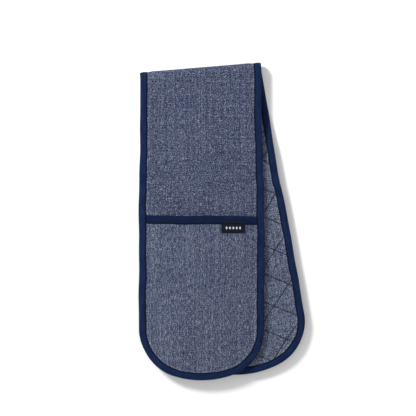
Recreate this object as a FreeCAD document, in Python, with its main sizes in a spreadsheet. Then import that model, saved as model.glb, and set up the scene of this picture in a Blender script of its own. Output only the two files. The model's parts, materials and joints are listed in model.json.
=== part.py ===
"""Double oven glove, folded in half and laid flat.

One long padded strip with rounded ends carries a hand pocket at each end, on its outer side.
The strip is folded at mid-length, a little askew, so its two halves (leaves) fan out.
Each leaf is modelled in its own frame: the fold line passes through the origin, the leaf runs
towards -Y, and Z is the distance from the middle of the strip towards the pocket side.
"""
import FreeCAD, Part
import math
import os

import Sketcher

SIZES = [
    ("glove_width", 172, "width of the strip"),
    ("flat_length", 875, "length of the whole strip laid flat, tip to tip"),
    ("crown_radius", 128, "middle arc of a rounded end"),
    ("shoulder_radius", 66, "arcs from the middle arc to the sides"),
    ("pocket_depth", 230, "mouth to tip, along the leaf"),
    ("binding_width", 10, "bias binding, seen from one side"),
    ("cloth", 0.8, "outer cloth, and one leg of the binding"),
    ("strip_wadding", 3.5, "padding of the strip"),
    ("pocket_padding", 2.5, "padding of a pocket's front"),
    ("lining_cloth", 0.6, "lining of a pocket"),
    ("hand_gap", 5.5, "space for the hand in a pocket at rest"),
    ("leaf_gap", 0.8, "space between the two leaves at rest"),
    ("seam_clearance", 0.6, "pocket to edge binding"),
    ("foot_clearance", 0.3, "pocket to strip, along the side seam"),
    ("slope_run", 14, "width of the sloping sides of a pocket"),
    ("fold_radius", 7.5, "middle of the strip's padding round the fold"),
    ("fold_skew", 4.75, "fold line to a square fold, in degrees"),
    ("drape_start", 45, "fold line to the start of the rear leaf's rise"),
    ("drape_end", 150, "fold line to the end of the rear leaf's rise"),
    ("label_width", 32, "woven label"),
    ("label_height", 14, "woven label"),
    ("label_side", 29, "leaf's middle to the label's near side"),
    ("label_thickness", 0.8, "woven label, folded double"),
    ("overshoot", 30, "how far a cutting shape runs past the solid"),
]


class Size:
    """A length as the sheet's expression and as its number, so a sketch starts out solved."""

    def __init__(self, text, number):
        self.text = text
        self.number = number

    def joined(self, other, sign, number):
        text = other.text if isinstance(other, Size) else str(other)
        return Size(f"({self.text} {sign} {text})", number)

    def __add__(self, other):
        return self.joined(other, "+", self.number + plain(other))

    def __sub__(self, other):
        return self.joined(other, "-", self.number - plain(other))

    def __mul__(self, other):
        return self.joined(other, "*", self.number * plain(other))

    def __truediv__(self, other):
        return self.joined(other, "/", self.number / plain(other))


def plain(value):
    return value.number if isinstance(value, Size) else value


doc = FreeCAD.newDocument("double_oven_glove")
sheet = doc.addObject("Spreadsheet::Sheet", "sizes")
size = {}
for row, (alias, value, note) in enumerate(SIZES, start=1):
    sheet.set(f"A{row}", note)
    sheet.set(f"B{row}", str(value))
    sheet.setAlias(f"B{row}", alias)
    size[alias] = Size(f"sizes.{alias}", float(value))
doc.recompute()

NONE = size["cloth"] * 0
HALF_WADDING = size["strip_wadding"] / 2
HALF_STRIP = HALF_WADDING + size["cloth"]
HALF_ARC = size["fold_radius"] * (math.pi / 2)
LEAF_LENGTH = size["flat_length"] / 2 - HALF_ARC
CROWN_REACH = LEAF_LENGTH - size["crown_radius"]
MOUTH_REACH = LEAF_LENGTH - size["pocket_depth"]

# Heights of a pocket's surfaces above the strip's middle, from the hand space outwards.
POCKET_FOOT = HALF_STRIP + size["foot_clearance"]
LINING_INNER = HALF_STRIP + size["hand_gap"]
LINING_OUTER = LINING_INNER + size["lining_cloth"]
PADDING_OUTER = LINING_OUTER + size["pocket_padding"]
POCKET_OUTER = PADDING_OUTER + size["cloth"]
FOOT_INSET = size["binding_width"] + size["seam_clearance"]
ROOF_INSET = FOOT_INSET + size["slope_run"]

# The leaves' middles above the table, with the rear pocket lying on it.
REAR_MIDDLE = POCKET_OUTER
FRONT_MIDDLE = REAR_MIDDLE + HALF_STRIP * 2 + size["leaf_gap"]
FOLD_CENTRE = FRONT_MIDDLE - size["fold_radius"]
DRAPE_DROP = REAR_MIDDLE - FOLD_CENTRE + size["fold_radius"]
DRAPE_RUN = size["drape_end"] - size["drape_start"]
DRAPE_RADIUS = (DRAPE_RUN * DRAPE_RUN + DRAPE_DROP * DRAPE_DROP) / (DRAPE_DROP * 4)

START, END, CENTRE = 1, 2, 3
ORIGIN = (-1, 1)
UPRIGHT_AXIS = -2


def new_body(name):
    return doc.addObject("PartDesign::Body", name)


def new_sketch(body, name, role, height=None):
    """An empty sketch on one of the body's origin planes, or at a height above it."""
    sketch = body.newObject("Sketcher::SketchObject", name)
    plane = next(f for f in body.Origin.OriginFeatures if f.Role == role)
    sketch.AttachmentSupport = [(plane, "")]
    sketch.MapMode = "FlatFace"
    if height is not None:
        sketch.setExpression("AttachmentOffset.Base.z", height.text)
    return sketch


def constrain(sketch, kind, *ends):
    sketch.addConstraint(Sketcher.Constraint(kind, *ends))


def dimension(sketch, name, kind, ends, length):
    """A sized constraint, bound to the sheet."""
    index = sketch.addConstraint(Sketcher.Constraint(kind, *ends, length.number))
    sketch.renameConstraint(index, name)
    sketch.setExpression(f"Constraints.{name}", length.text)


def line(sketch, first, last):
    ends = [FreeCAD.Vector(x, y, 0) for x, y in (first, last)]
    return sketch.addGeometry(Part.LineSegment(*ends))


def arc(sketch, centre, radius, first, last):
    """An arc that runs anticlockwise from one angle to another, in degrees."""
    circle = Part.Circle(FreeCAD.Vector(*centre, 0), FreeCAD.Vector(0, 0, 1), radius)
    return sketch.addGeometry(Part.ArcOfCircle(circle, math.radians(first), math.radians(last)))


def rounded_outline(sketch, inset, end):
    """A leaf's outline, inset on all sides: straight sides and a rounded tip of three arcs.

    end is "fold" for the skewed fold line, or how far the square end lies before the origin.
    """
    half = size["glove_width"] / 2 - inset
    crown = size["crown_radius"] - inset
    shoulder = size["shoulder_radius"] - inset
    side, arm = (half - shoulder).number, (crown - shoulder).number
    top = -CROWN_REACH.number
    shoulder_y = top - math.sqrt(arm**2 - side**2)
    lean = math.degrees(math.atan2(shoulder_y - top, side))
    rise = half.number * math.tan(math.radians(size["fold_skew"].number)) if end == "fold" else 0
    level = 0 if end == "fold" else -end.number
    x = half.number

    tip = arc(sketch, (0, top), crown.number, -180 - lean, lean)
    right_arc = arc(sketch, (side, shoulder_y), shoulder.number, lean, 0)
    right = line(sketch, (x, shoulder_y), (x, level + rise))
    across = line(sketch, (-x, level - rise), (x, level + rise))
    left = line(sketch, (-x, level - rise), (-x, shoulder_y))
    left_arc = arc(sketch, (-side, shoulder_y), shoulder.number, -180, -180 - lean)

    constrain(sketch, "Tangent", tip, END, right_arc, START)
    constrain(sketch, "Tangent", right_arc, END, right, START)
    constrain(sketch, "Coincident", right, END, across, END)
    constrain(sketch, "Coincident", across, START, left, START)
    constrain(sketch, "Tangent", left, END, left_arc, START)
    constrain(sketch, "Tangent", left_arc, END, tip, START)
    constrain(sketch, "Vertical", right)
    constrain(sketch, "Vertical", left)
    constrain(sketch, "PointOnObject", tip, CENTRE, UPRIGHT_AXIS)
    dimension(sketch, "crown", "Radius", (tip,), crown)
    dimension(sketch, "right_shoulder", "Radius", (right_arc,), shoulder)
    dimension(sketch, "left_shoulder", "Radius", (left_arc,), shoulder)
    dimension(sketch, "right_half", "DistanceX", (*ORIGIN, right, START), half)
    dimension(sketch, "left_half", "DistanceX", (left, END, *ORIGIN), half)
    dimension(sketch, "reach", "DistanceY", (tip, CENTRE, *ORIGIN), CROWN_REACH)
    if end == "fold":
        constrain(sketch, "PointOnObject", *ORIGIN, across)
        angle = Size(f"{size['fold_skew'].text} * 1 deg", math.radians(size["fold_skew"].number))
        dimension(sketch, "skew", "Angle", (across,), angle)
    else:
        constrain(sketch, "Horizontal", across)
        if end.number >= 0:
            dimension(sketch, "level", "DistanceY", (across, START, *ORIGIN), end)
        else:
            dimension(sketch, "level", "DistanceY", (*ORIGIN, across, START), end * -1)


def draped_band(sketch, low, high):
    """The rear leaf's side view: level near the tip, a gentle S, level again at the fold."""
    start, finish = size["drape_start"].number, size["drape_end"].number
    drop, radius = DRAPE_DROP.number, DRAPE_RADIUS.number
    far, near = -LEAF_LENGTH.number - size["overshoot"].number, size["overshoot"].number
    turn = math.degrees(math.asin(DRAPE_RUN.number / 2 / radius))
    edges = []
    for offset in (low.number, high.number):
        level = line(sketch, (far, offset), (-finish, offset))
        rise = arc(sketch, (-finish, radius), radius - offset, -90, turn - 90)
        crest = arc(sketch, (-start, drop - radius), radius + offset, 90, 90 + turn)
        raised = line(sketch, (-start, drop + offset), (near, drop + offset))
        constrain(sketch, "Tangent", level, END, rise, START)
        constrain(sketch, "Tangent", rise, END, crest, END)
        constrain(sketch, "Tangent", crest, START, raised, START)
        constrain(sketch, "Horizontal", level)
        constrain(sketch, "Horizontal", raised)
        edges.append((level, rise, crest, raised))
    lower, upper = edges
    tip_end = line(sketch, (far, low.number), (far, high.number))
    fold_end = line(sketch, (near, drop + low.number), (near, drop + high.number))
    for side, edge in ((START, lower), (END, upper)):
        constrain(sketch, "Coincident", tip_end, side, edge[0], START)
        constrain(sketch, "Coincident", fold_end, side, edge[3], END)
    constrain(sketch, "Vertical", tip_end)
    constrain(sketch, "Vertical", fold_end)
    constrain(sketch, "Coincident", upper[1], CENTRE, lower[1], CENTRE)
    constrain(sketch, "Coincident", upper[2], CENTRE, lower[2], CENTRE)
    dimension(sketch, "rise_along", "DistanceX", (lower[1], CENTRE, *ORIGIN), size["drape_end"])
    dimension(sketch, "rise_up", "DistanceY", (*ORIGIN, lower[1], CENTRE), DRAPE_RADIUS)
    dimension(sketch, "crest_along", "DistanceX", (lower[2], CENTRE, *ORIGIN), size["drape_start"])
    dimension(sketch, "crest_down", "DistanceY", (lower[2], CENTRE, *ORIGIN), DRAPE_RADIUS - DRAPE_DROP)
    dimension(sketch, "lower_bend", "Radius", (lower[1],), DRAPE_RADIUS - low)
    dimension(sketch, "upper_bend", "Radius", (upper[1],), DRAPE_RADIUS - high)
    dimension(sketch, "tip_reach", "DistanceX", (tip_end, START, *ORIGIN), LEAF_LENGTH + size["overshoot"])
    dimension(sketch, "fold_reach", "DistanceX", (*ORIGIN, fold_end, START), size["overshoot"])


def half_ring(sketch, low, high):
    """The fold's cross-section between two distances from the middle of the strip."""
    inner, outer = size["fold_radius"] + low, size["fold_radius"] + high
    inside = arc(sketch, (0, 0), inner.number, -90, 90)
    outside = arc(sketch, (0, 0), outer.number, -90, 90)
    bottom = line(sketch, (0, -inner.number), (0, -outer.number))
    top = line(sketch, (0, inner.number), (0, outer.number))
    for bend in (inside, outside):
        constrain(sketch, "Coincident", bend, CENTRE, *ORIGIN)
        constrain(sketch, "PointOnObject", bend, START, UPRIGHT_AXIS)
        constrain(sketch, "PointOnObject", bend, END, UPRIGHT_AXIS)
    constrain(sketch, "Coincident", bottom, START, inside, START)
    constrain(sketch, "Coincident", bottom, END, outside, START)
    constrain(sketch, "Coincident", top, START, inside, END)
    constrain(sketch, "Coincident", top, END, outside, END)
    dimension(sketch, "inner", "Radius", (inside,), inner)
    dimension(sketch, "outer", "Radius", (outside,), outer)


def rectangle(sketch, left, right, near, far):
    """A rectangle about the Y axis, from left to right of it, from far to near before the X axis."""
    corners = [(-left.number, -far.number), (right.number, -far.number)]
    corners += [(right.number, -near.number), (-left.number, -near.number)]
    sides = [line(sketch, corners[k], corners[(k + 1) % 4]) for k in range(4)]
    for k in range(4):
        constrain(sketch, "Coincident", sides[k], END, sides[(k + 1) % 4], START)
        constrain(sketch, "Horizontal" if k % 2 == 0 else "Vertical", sides[k])
    dimension(sketch, "left", "DistanceX", (sides[0], START, *ORIGIN), left)
    dimension(sketch, "right", "DistanceX", (*ORIGIN, sides[0], END), right)
    dimension(sketch, "far", "DistanceY", (sides[0], START, *ORIGIN), far)
    dimension(sketch, "near", "DistanceY", (sides[2], START, *ORIGIN), near)


def pad(body, sketch, length, both_ways=False):
    feature = body.newObject("PartDesign::Pad", f"{body.Name}_pad")
    feature.Profile = sketch
    feature.setExpression("Length", length.text)
    feature.Midplane = both_ways
    sketch.Visibility = False
    return feature


def cut_through(body, sketch):
    """Cuts a sketch right through the body both ways, and makes sure that something was cut."""
    doc.recompute()
    before = body.Shape.Volume
    feature = body.newObject("PartDesign::Pocket", f"{sketch.Name}_cut")
    feature.Profile = sketch
    feature.Type = "ThroughAll"
    feature.Midplane = True
    doc.recompute()
    if body.Shape.Volume >= before:
        raise RuntimeError(f"{feature.Name} cuts nothing")


def boolean(kind, name, base, tool):
    result = doc.addObject(kind, name)
    result.Base = base
    result.Tool = tool
    return result


def leaf_prism(name, inset, low, height, opening=None):
    """A leaf's outline as a plate; with an opening's inset, only the band between the two."""
    body = new_body(name)
    sketch = new_sketch(body, f"{name}_outline", "XY_Plane", low)
    rounded_outline(sketch, inset, "fold")
    pad(body, sketch, height)
    if opening is not None:
        inner = new_sketch(body, f"{name}_opening", "XY_Plane", low)
        rounded_outline(inner, opening, size["overshoot"] * -1)
        cut_through(body, inner)
    return body


def strip_layer(name, inset, low, high, draped, opening=None):
    """One layer of a leaf, flat or following the rear leaf's drape."""
    if not draped:
        return leaf_prism(name, inset, low, high - low, opening)
    room = HALF_STRIP * 2 + DRAPE_DROP * 2
    prism = leaf_prism(f"{name}_prism", inset, room * -0.5, room, opening)
    band = new_body(f"{name}_band")
    sketch = new_sketch(band, f"{name}_side", "YZ_Plane")
    draped_band(sketch, low, high)
    pad(band, sketch, size["glove_width"] + size["overshoot"], both_ways=True)
    return boolean("Part::Common", name, prism, band)


def foot_inset(height):
    """Where a pocket surface with this roof height meets the strip, at the sides' own slope."""
    rise = (height - POCKET_FOOT) / (POCKET_OUTER - POCKET_FOOT)
    return ROOF_INSET - size["slope_run"] * rise


def loft(body, kind, roof, end):
    """A tray shape under one of the pocket's surfaces, to its mouth end."""
    names = [f"{body.Name}_{kind}_{part}" for part in ("foot", "roof")]
    foot_sketch = new_sketch(body, names[0], "XY_Plane", POCKET_FOOT)
    rounded_outline(foot_sketch, foot_inset(roof), end)
    roof_sketch = new_sketch(body, names[1], "XY_Plane", roof)
    rounded_outline(roof_sketch, ROOF_INSET, end)
    doc.recompute()
    feature = body.newObject(f"PartDesign::{kind}Loft", f"{body.Name}_{kind}")
    feature.Profile = foot_sketch
    feature.Sections = [roof_sketch]
    feature.Ruled = True


def pocket_layer(name, inner, outer, mouth_inset, only_mouth=False):
    """One layer of a pocket: the tray between two of its surfaces, open at the mouth."""
    body = new_body(name)
    loft(body, "Additive", outer, MOUTH_REACH + mouth_inset)
    loft(body, "Subtractive", inner, MOUTH_REACH - size["overshoot"])
    if only_mouth:
        rest = new_sketch(body, f"{name}_rest", "XY_Plane")
        half = size["glove_width"]
        near = MOUTH_REACH + size["binding_width"]
        rectangle(rest, half, half, near, LEAF_LENGTH + size["overshoot"])
        cut_through(body, rest)
    return body


def fold_layer(name, inset, low, high):
    """One layer of the strip round the fold."""
    body = new_body(name)
    sketch = new_sketch(body, f"{name}_section", "YZ_Plane")
    half_ring(sketch, low, high)
    pad(body, sketch, (size["glove_width"] - inset * 2) * FOLD_STRETCH, both_ways=True)
    return body


def fold_end(name, side):
    """The binding at one end of the fold, before the padding's edge is taken out of it."""
    body = new_body(name)
    shift = (size["glove_width"] - size["binding_width"]) * (side * FOLD_STRETCH / 2)
    sketch = new_sketch(body, f"{name}_section", "YZ_Plane", shift)
    half_ring(sketch, HALF_STRIP * -1, HALF_STRIP)
    pad(body, sketch, size["binding_width"] * FOLD_STRETCH, both_ways=True)
    return body


def build_leaf(prefix, draped):
    """A leaf's strip layers and edge binding, and its pocket's layers and mouth binding."""
    web, inset = size["cloth"], size["binding_width"]
    wadding = (web, HALF_WADDING * -1, HALF_WADDING, draped)
    ring = strip_layer(f"{prefix}_ring", NONE, HALF_STRIP * -1, HALF_STRIP, draped, inset)
    tongue = strip_layer(f"{prefix}_tongue", *wadding)
    mouth = pocket_layer(f"{prefix}_mouth", LINING_INNER, POCKET_OUTER, NONE, only_mouth=True)
    filling = pocket_layer(f"{prefix}_filling", LINING_OUTER, PADDING_OUTER, web)
    return [
        strip_layer(f"{prefix}_strip_face", inset, HALF_WADDING, HALF_STRIP, draped),
        strip_layer(f"{prefix}_strip_wadding", *wadding),
        strip_layer(f"{prefix}_strip_back", inset, HALF_STRIP * -1, HALF_WADDING * -1, draped),
        boolean("Part::Cut", f"{prefix}_edge_binding", ring, tongue),
        pocket_layer(f"{prefix}_pocket_face", PADDING_OUTER, POCKET_OUTER, inset),
        pocket_layer(f"{prefix}_pocket_wadding", LINING_OUTER, PADDING_OUTER, web),
        pocket_layer(f"{prefix}_pocket_lining", LINING_INNER, LINING_OUTER, inset),
        boolean("Part::Cut", f"{prefix}_mouth_binding", mouth, filling),
    ]


def build_label():
    """The woven label on the front pocket, hanging from the mouth binding's lower edge."""
    body = new_body("label")
    sketch = new_sketch(body, "label_outline", "XY_Plane", POCKET_OUTER)
    near = MOUTH_REACH + size["binding_width"]
    reach = size["label_side"] + size["label_width"]
    rectangle(sketch, size["label_side"] * -1, reach, near, near + size["label_height"])
    pad(body, sketch, size["label_thickness"])
    return body


def build_fold():
    """The strip's layers and the binding's two ends round the fold."""
    web, inset = size["cloth"], size["binding_width"]
    tongue = fold_layer("fold_tongue", web, HALF_WADDING * -1, HALF_WADDING)
    made = [
        fold_layer("fold_face", inset, HALF_WADDING, HALF_STRIP),
        fold_layer("fold_wadding", web, HALF_WADDING * -1, HALF_WADDING),
        fold_layer("fold_back", inset, HALF_STRIP * -1, HALF_WADDING * -1),
    ]
    for side, name in ((-1, "left"), (1, "right")):
        end = fold_end(f"fold_end_{name}", side)
        made.append(boolean("Part::Cut", f"fold_binding_{name}", end, tongue))
    return made


def box_centre():
    """The middle of the whole glove's box from the fold line's middle, across and along."""
    skew = math.radians(size["fold_skew"].number)
    half, shoulder = size["glove_width"].number / 2, size["shoulder_radius"].number
    side = half - shoulder
    arm = size["crown_radius"].number - shoulder
    down = CROWN_REACH.number + math.sqrt(arm**2 - side**2)
    right = side * math.cos(2 * skew) + down * math.sin(2 * skew) + shoulder
    bulge = (size["fold_radius"] + HALF_STRIP).number
    left = half + bulge * math.sin(skew)
    top = bulge * math.cos(skew) + half * FOLD_STRETCH * math.sin(skew)
    return (right - left) / 2, (top - LEAF_LENGTH.number) / 2


FOLD_STRETCH = 1 / math.cos(math.radians(size["fold_skew"].number))
across, along = box_centre()
skew = size["fold_skew"].number
front_place = FreeCAD.Placement(
    FreeCAD.Vector(-across, -along, FRONT_MIDDLE.number), FreeCAD.Rotation()
)
turned = FreeCAD.Rotation(FreeCAD.Vector(0, 0, 1), 2 * skew)
turned = turned.multiply(FreeCAD.Rotation(FreeCAD.Vector(0, 1, 0), 180))
rear_place = FreeCAD.Placement(FreeCAD.Vector(-across, -along, REAR_MIDDLE.number), turned)
fold_place = FreeCAD.Placement(
    FreeCAD.Vector(-across, -along, FOLD_CENTRE.number),
    FreeCAD.Rotation(FreeCAD.Vector(0, 0, 1), skew),
)

parts = []
for pieces, place in (
    (build_leaf("rear", draped=True), rear_place),
    (build_leaf("front", draped=False) + [build_label()], front_place),
    (build_fold(), fold_place),
):
    for piece in pieces:
        piece.Label = piece.Name
        piece.Placement = place
        parts.append(piece)

doc.recompute()
for item in doc.Objects:
    if "Invalid" in item.State or "Error" in item.State:
        raise RuntimeError(f"{item.Name} failed: {item.State}")
for piece in parts:
    if piece.Shape.isNull() or not piece.Shape.isValid() or not piece.Shape.Solids:
        raise RuntimeError(f"{piece.Label} has no valid solid")

os.makedirs("parts", exist_ok=True)
for piece in parts:
    piece.Shape.exportStep(f"parts/{piece.Label}.step")
    print(piece.Label, len(piece.Shape.Solids), round(piece.Shape.Volume / 1000, 2), "cm3")
print("fold centre", [round(v, 4) for v in fold_place.Base], "rear middle", REAR_MIDDLE.number)
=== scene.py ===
"""Double oven glove: a padded chambray strip with a hand pocket at each end, folded in half and laid flat."""

import json
import math

import bpy
import numpy as np
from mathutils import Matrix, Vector


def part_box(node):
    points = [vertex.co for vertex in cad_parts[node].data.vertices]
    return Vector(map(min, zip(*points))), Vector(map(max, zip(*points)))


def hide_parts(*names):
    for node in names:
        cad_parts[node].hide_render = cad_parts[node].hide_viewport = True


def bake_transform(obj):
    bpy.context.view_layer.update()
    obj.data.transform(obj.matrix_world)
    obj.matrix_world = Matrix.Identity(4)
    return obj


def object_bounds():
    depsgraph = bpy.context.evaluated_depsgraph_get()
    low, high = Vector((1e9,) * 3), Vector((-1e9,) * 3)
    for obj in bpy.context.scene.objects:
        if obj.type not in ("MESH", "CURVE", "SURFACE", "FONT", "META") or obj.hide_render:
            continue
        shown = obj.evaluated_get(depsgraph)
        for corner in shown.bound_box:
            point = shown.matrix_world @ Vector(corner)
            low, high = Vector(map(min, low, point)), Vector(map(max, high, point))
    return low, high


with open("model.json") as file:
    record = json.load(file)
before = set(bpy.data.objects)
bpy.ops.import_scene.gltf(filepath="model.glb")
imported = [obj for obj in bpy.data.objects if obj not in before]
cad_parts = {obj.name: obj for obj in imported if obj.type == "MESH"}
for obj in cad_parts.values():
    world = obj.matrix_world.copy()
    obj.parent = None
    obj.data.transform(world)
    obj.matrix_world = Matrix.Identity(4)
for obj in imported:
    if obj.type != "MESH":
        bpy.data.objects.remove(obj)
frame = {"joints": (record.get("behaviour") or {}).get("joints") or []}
cad_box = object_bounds()

MM = 0.001


def box_mm(node):
    """The lowest and highest corner of a CAD node, in millimetres."""
    low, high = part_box(node)
    return np.array(low) / MM, np.array(high) / MM


def joint(name):
    """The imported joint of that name."""
    return next(j for j in frame["joints"] if j["name"] == name)


# ------------------------------------------------------------------ where things are, in millimetres
FOLD_RADIUS = 7.5
# The fold's hinges stand this far out from where its curve begins.
HINGE_REACH = 5.89

fold_axis = -np.array(joint("fold_lower")["axis"])
SKEW = math.atan2(fold_axis[1], fold_axis[0])
ALONG = np.array([math.cos(SKEW), math.sin(SKEW)])
OUT = np.array([-math.sin(SKEW), math.cos(SKEW)])
CENTRE = np.array(joint("fold_lower")["pos_m"][:2]) / MM - HINGE_REACH * OUT

edge_low, edge_high = box_mm("front_edge_binding")
wadding_low, wadding_high = box_mm("front_strip_wadding")
rear_low, rear_high = box_mm("rear_strip_wadding")
mouth_high = box_mm("front_mouth_binding")[1]
label_low, label_high = box_mm("label")

HALF_WIDTH = edge_high[0] - CENTRE[0]
LENGTH = CENTRE[1] - edge_low[1]
FRONT_LEVEL = (wadding_low[2] + wadding_high[2]) / 2
WADDING_HALF = (wadding_high[2] - wadding_low[2]) / 2
REAR_LEVEL = rear_high[2] - WADDING_HALF
REAR_DROP = REAR_LEVEL - (rear_low[2] + WADDING_HALF)
FOLD_LEVEL = FRONT_LEVEL - FOLD_RADIUS
MOUTH = mouth_high[1] - CENTRE[1]

# The photo's label lies this far from its CAD node, across and along.
LABEL_SHIFT = (-1.9, -1.1)
LABEL_LEFT = label_low[0] - CENTRE[0] + LABEL_SHIFT[0]
LABEL_RIGHT = label_high[0] - CENTRE[0] + LABEL_SHIFT[0]
LABEL_END = label_low[1] - CENTRE[1] + LABEL_SHIFT[1]

# ------------------------------------------------------------------ the sewn sizes, in millimetres
CLOTH = 0.8
LINING_CLOTH = 0.6
TAPE = 0.8
BINDING_WIDTH = 10.0
MOUTH_BINDING_SCALE = 1.2
CROWN_RADIUS = 128.0
SHOULDER_RADIUS = 66.0
# The rear leaf comes down to its pocket's level between these two distances from the fold.
DROP_START, DROP_END = 45.0, 150.0
# The fold's skew fades out over this length of strip, and the mouth slopes by this much.
SKEW_FADE = 90.0
MOUTH_SLOPE = 0.0075

CROWN_Y = CROWN_RADIUS - LENGTH
SHOULDER_X = HALF_WIDTH - SHOULDER_RADIUS
SHOULDER_Y = CROWN_Y - math.sqrt((CROWN_RADIUS - SHOULDER_RADIUS) ** 2 - SHOULDER_X**2)
TANGENT = math.atan2(CROWN_Y - SHOULDER_Y, SHOULDER_X)
FOLD_RUN = FOLD_RADIUS * math.pi / 2 / math.cos(SKEW)

EDGE_HALF = 1.25
FULL_HALF = 2.15
POCKET_EDGE = 3.05
LINING_EDGE = 1.95
POCKET_DEPTH = 2.75
STITCH_PULL = 1.8
BINDING_TOP = EDGE_HALF + CLOTH / 2 + TAPE
# How deep the threads lie in the tape, and the size of the stitches that hold it.
STITCH_SINK = 0.3
TAPE_STITCHES = {"radius": 0.2, "length": 2.2, "gap": 1.0}

# The quilting: the way that each family of lines runs on the strip, in degrees, and the space between them.
QUILT_FAMILIES = ((-32.5, 36.6), (48.0, 41.0))
QUILT_CROSSING = (61.2, -258.8)


def smooth(t):
    """Rises from 0 to 1 with no corner at either end."""
    t = np.clip(t, 0.0, 1.0)
    return t * t * (3 - 2 * t)


# ------------------------------------------------------------------ the strip's flat shape
def half_width(y, inset=0.0):
    """Half the strip's width at y, less an inset all round."""
    crown = CROWN_RADIUS - inset
    shoulder = SHOULDER_RADIUS - inset
    at_shoulder = SHOULDER_X + np.sqrt(np.clip(shoulder**2 - (SHOULDER_Y - y) ** 2, 0, None))
    at_crown = np.sqrt(np.clip(crown**2 - (CROWN_Y - y) ** 2, 0, None))
    tangent_y = CROWN_Y - crown * math.sin(TANGENT)
    rounded = np.where(y > tangent_y, at_shoulder, at_crown)
    return np.where(y > SHOULDER_Y, HALF_WIDTH - inset, rounded)


def edge_distance(x, y):
    """How far a flat point is inside the strip's outline."""
    across = np.abs(x)
    crown = CROWN_RADIUS - np.hypot(across, y - CROWN_Y)
    shoulder = SHOULDER_RADIUS - np.hypot(across - SHOULDER_X, y - SHOULDER_Y)
    in_crown = across < (CROWN_Y - y) / math.tan(TANGENT)
    rounded = np.where(in_crown, crown, shoulder)
    return np.where(y > SHOULDER_Y, HALF_WIDTH - across, rounded)


def shear(y):
    """How much of the fold's skew a row of the strip takes: all of it at the fold, none further down."""
    return smooth(1 + y / SKEW_FADE)


def outline(pitch=3.0, fold_steps=14):
    """Points round half a strip's edge, from one side of the fold to the other, and their ways inwards."""
    side = np.linspace(0.0, SHOULDER_Y, int(-SHOULDER_Y / pitch) + 1)
    down = np.concatenate([np.linspace(FOLD_RUN, 0.0, fold_steps, endpoint=False), side])
    turn = math.pi / 2 - TANGENT
    arcs = (
        (-SHOULDER_X, SHOULDER_Y, SHOULDER_RADIUS, math.pi, math.pi + TANGENT),
        (0.0, CROWN_Y, CROWN_RADIUS, math.pi + TANGENT, 2 * math.pi - TANGENT),
        (SHOULDER_X, SHOULDER_Y, SHOULDER_RADIUS, 2 * math.pi - TANGENT, 2 * math.pi),
    )
    points = [np.stack([np.full(len(down), -HALF_WIDTH), down], 1)]
    inward = [np.tile([1.0, 0.0], (len(down), 1))]
    for x, y, radius, start, end in arcs:
        steps = int(radius * (end - start) / pitch) + 1
        angles = np.linspace(start, end, steps + 1)[1:]
        way = np.stack([np.cos(angles), np.sin(angles)], 1)
        points.append(np.array([x, y]) + radius * way)
        inward.append(-way)
    up = down[::-1][1:]
    points.append(np.stack([np.full(len(up), HALF_WIDTH), up], 1))
    inward.append(np.tile([-1.0, 0.0], (len(up), 1)))
    return np.concatenate(points), np.concatenate(inward)


def rows_of_strip(inset, pitch, top=FOLD_RUN, tip_rows=26, tip_depth=64.0):
    """The heights of a grid's rows, closer together at the rounded tip."""
    tip = inset - LENGTH
    near = tip + tip_depth * (np.arange(1, tip_rows + 1) / tip_rows) ** 2
    if top <= 0:
        count = max(2, int((top - near[-1]) / pitch))
        return np.concatenate([near, np.linspace(near[-1], top, count + 1)[1:]])
    count = max(2, int(-near[-1] / pitch))
    up = np.linspace(near[-1], 0.0, count + 1)[1:]
    fold = np.linspace(0.0, top, int(top / 0.9) + 1)[1:]
    return np.concatenate([near, up, fold])


def strip_grid(inset, pitch):
    """Flat x and y of a grid over half a strip, from its tip to the middle of the fold."""
    rows = rows_of_strip(inset, pitch)
    across = np.linspace(-1.0, 1.0, int(2 * HALF_WIDTH / pitch) + 1)
    x = half_width(rows, inset)[:, None] * across[None, :]
    y = rows[:, None] + x * math.tan(SKEW) * shear(rows)[:, None]
    return x, y


def mouth_line(x):
    """Where the pocket's mouth runs: nearly straight across, a little lower on one side."""
    return MOUTH - 0.6 - MOUTH_SLOPE * x + 0.35 * np.sin(x / 17.0) + 0.2 * np.sin(x / 7.3 + 1.0)


def pocket_grid(side, inset, pitch, reach=0.0):
    """Flat x and y of a grid over one side of a pocket, from the tip to the mouth, less reach."""
    rows = rows_of_strip(inset, pitch, top=MOUTH)
    across = np.linspace(0.0, 1.0, int(HALF_WIDTH / pitch) + 1)
    if side < 0:
        across = across[::-1]
    x = side * half_width(rows, inset)[:, None] * across[None, :]
    near_mouth = smooth((rows - MOUTH + 60) / 60)[:, None]
    y = rows[:, None] + (mouth_line(x) - reach - MOUTH) * near_mouth
    return x, y


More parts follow.
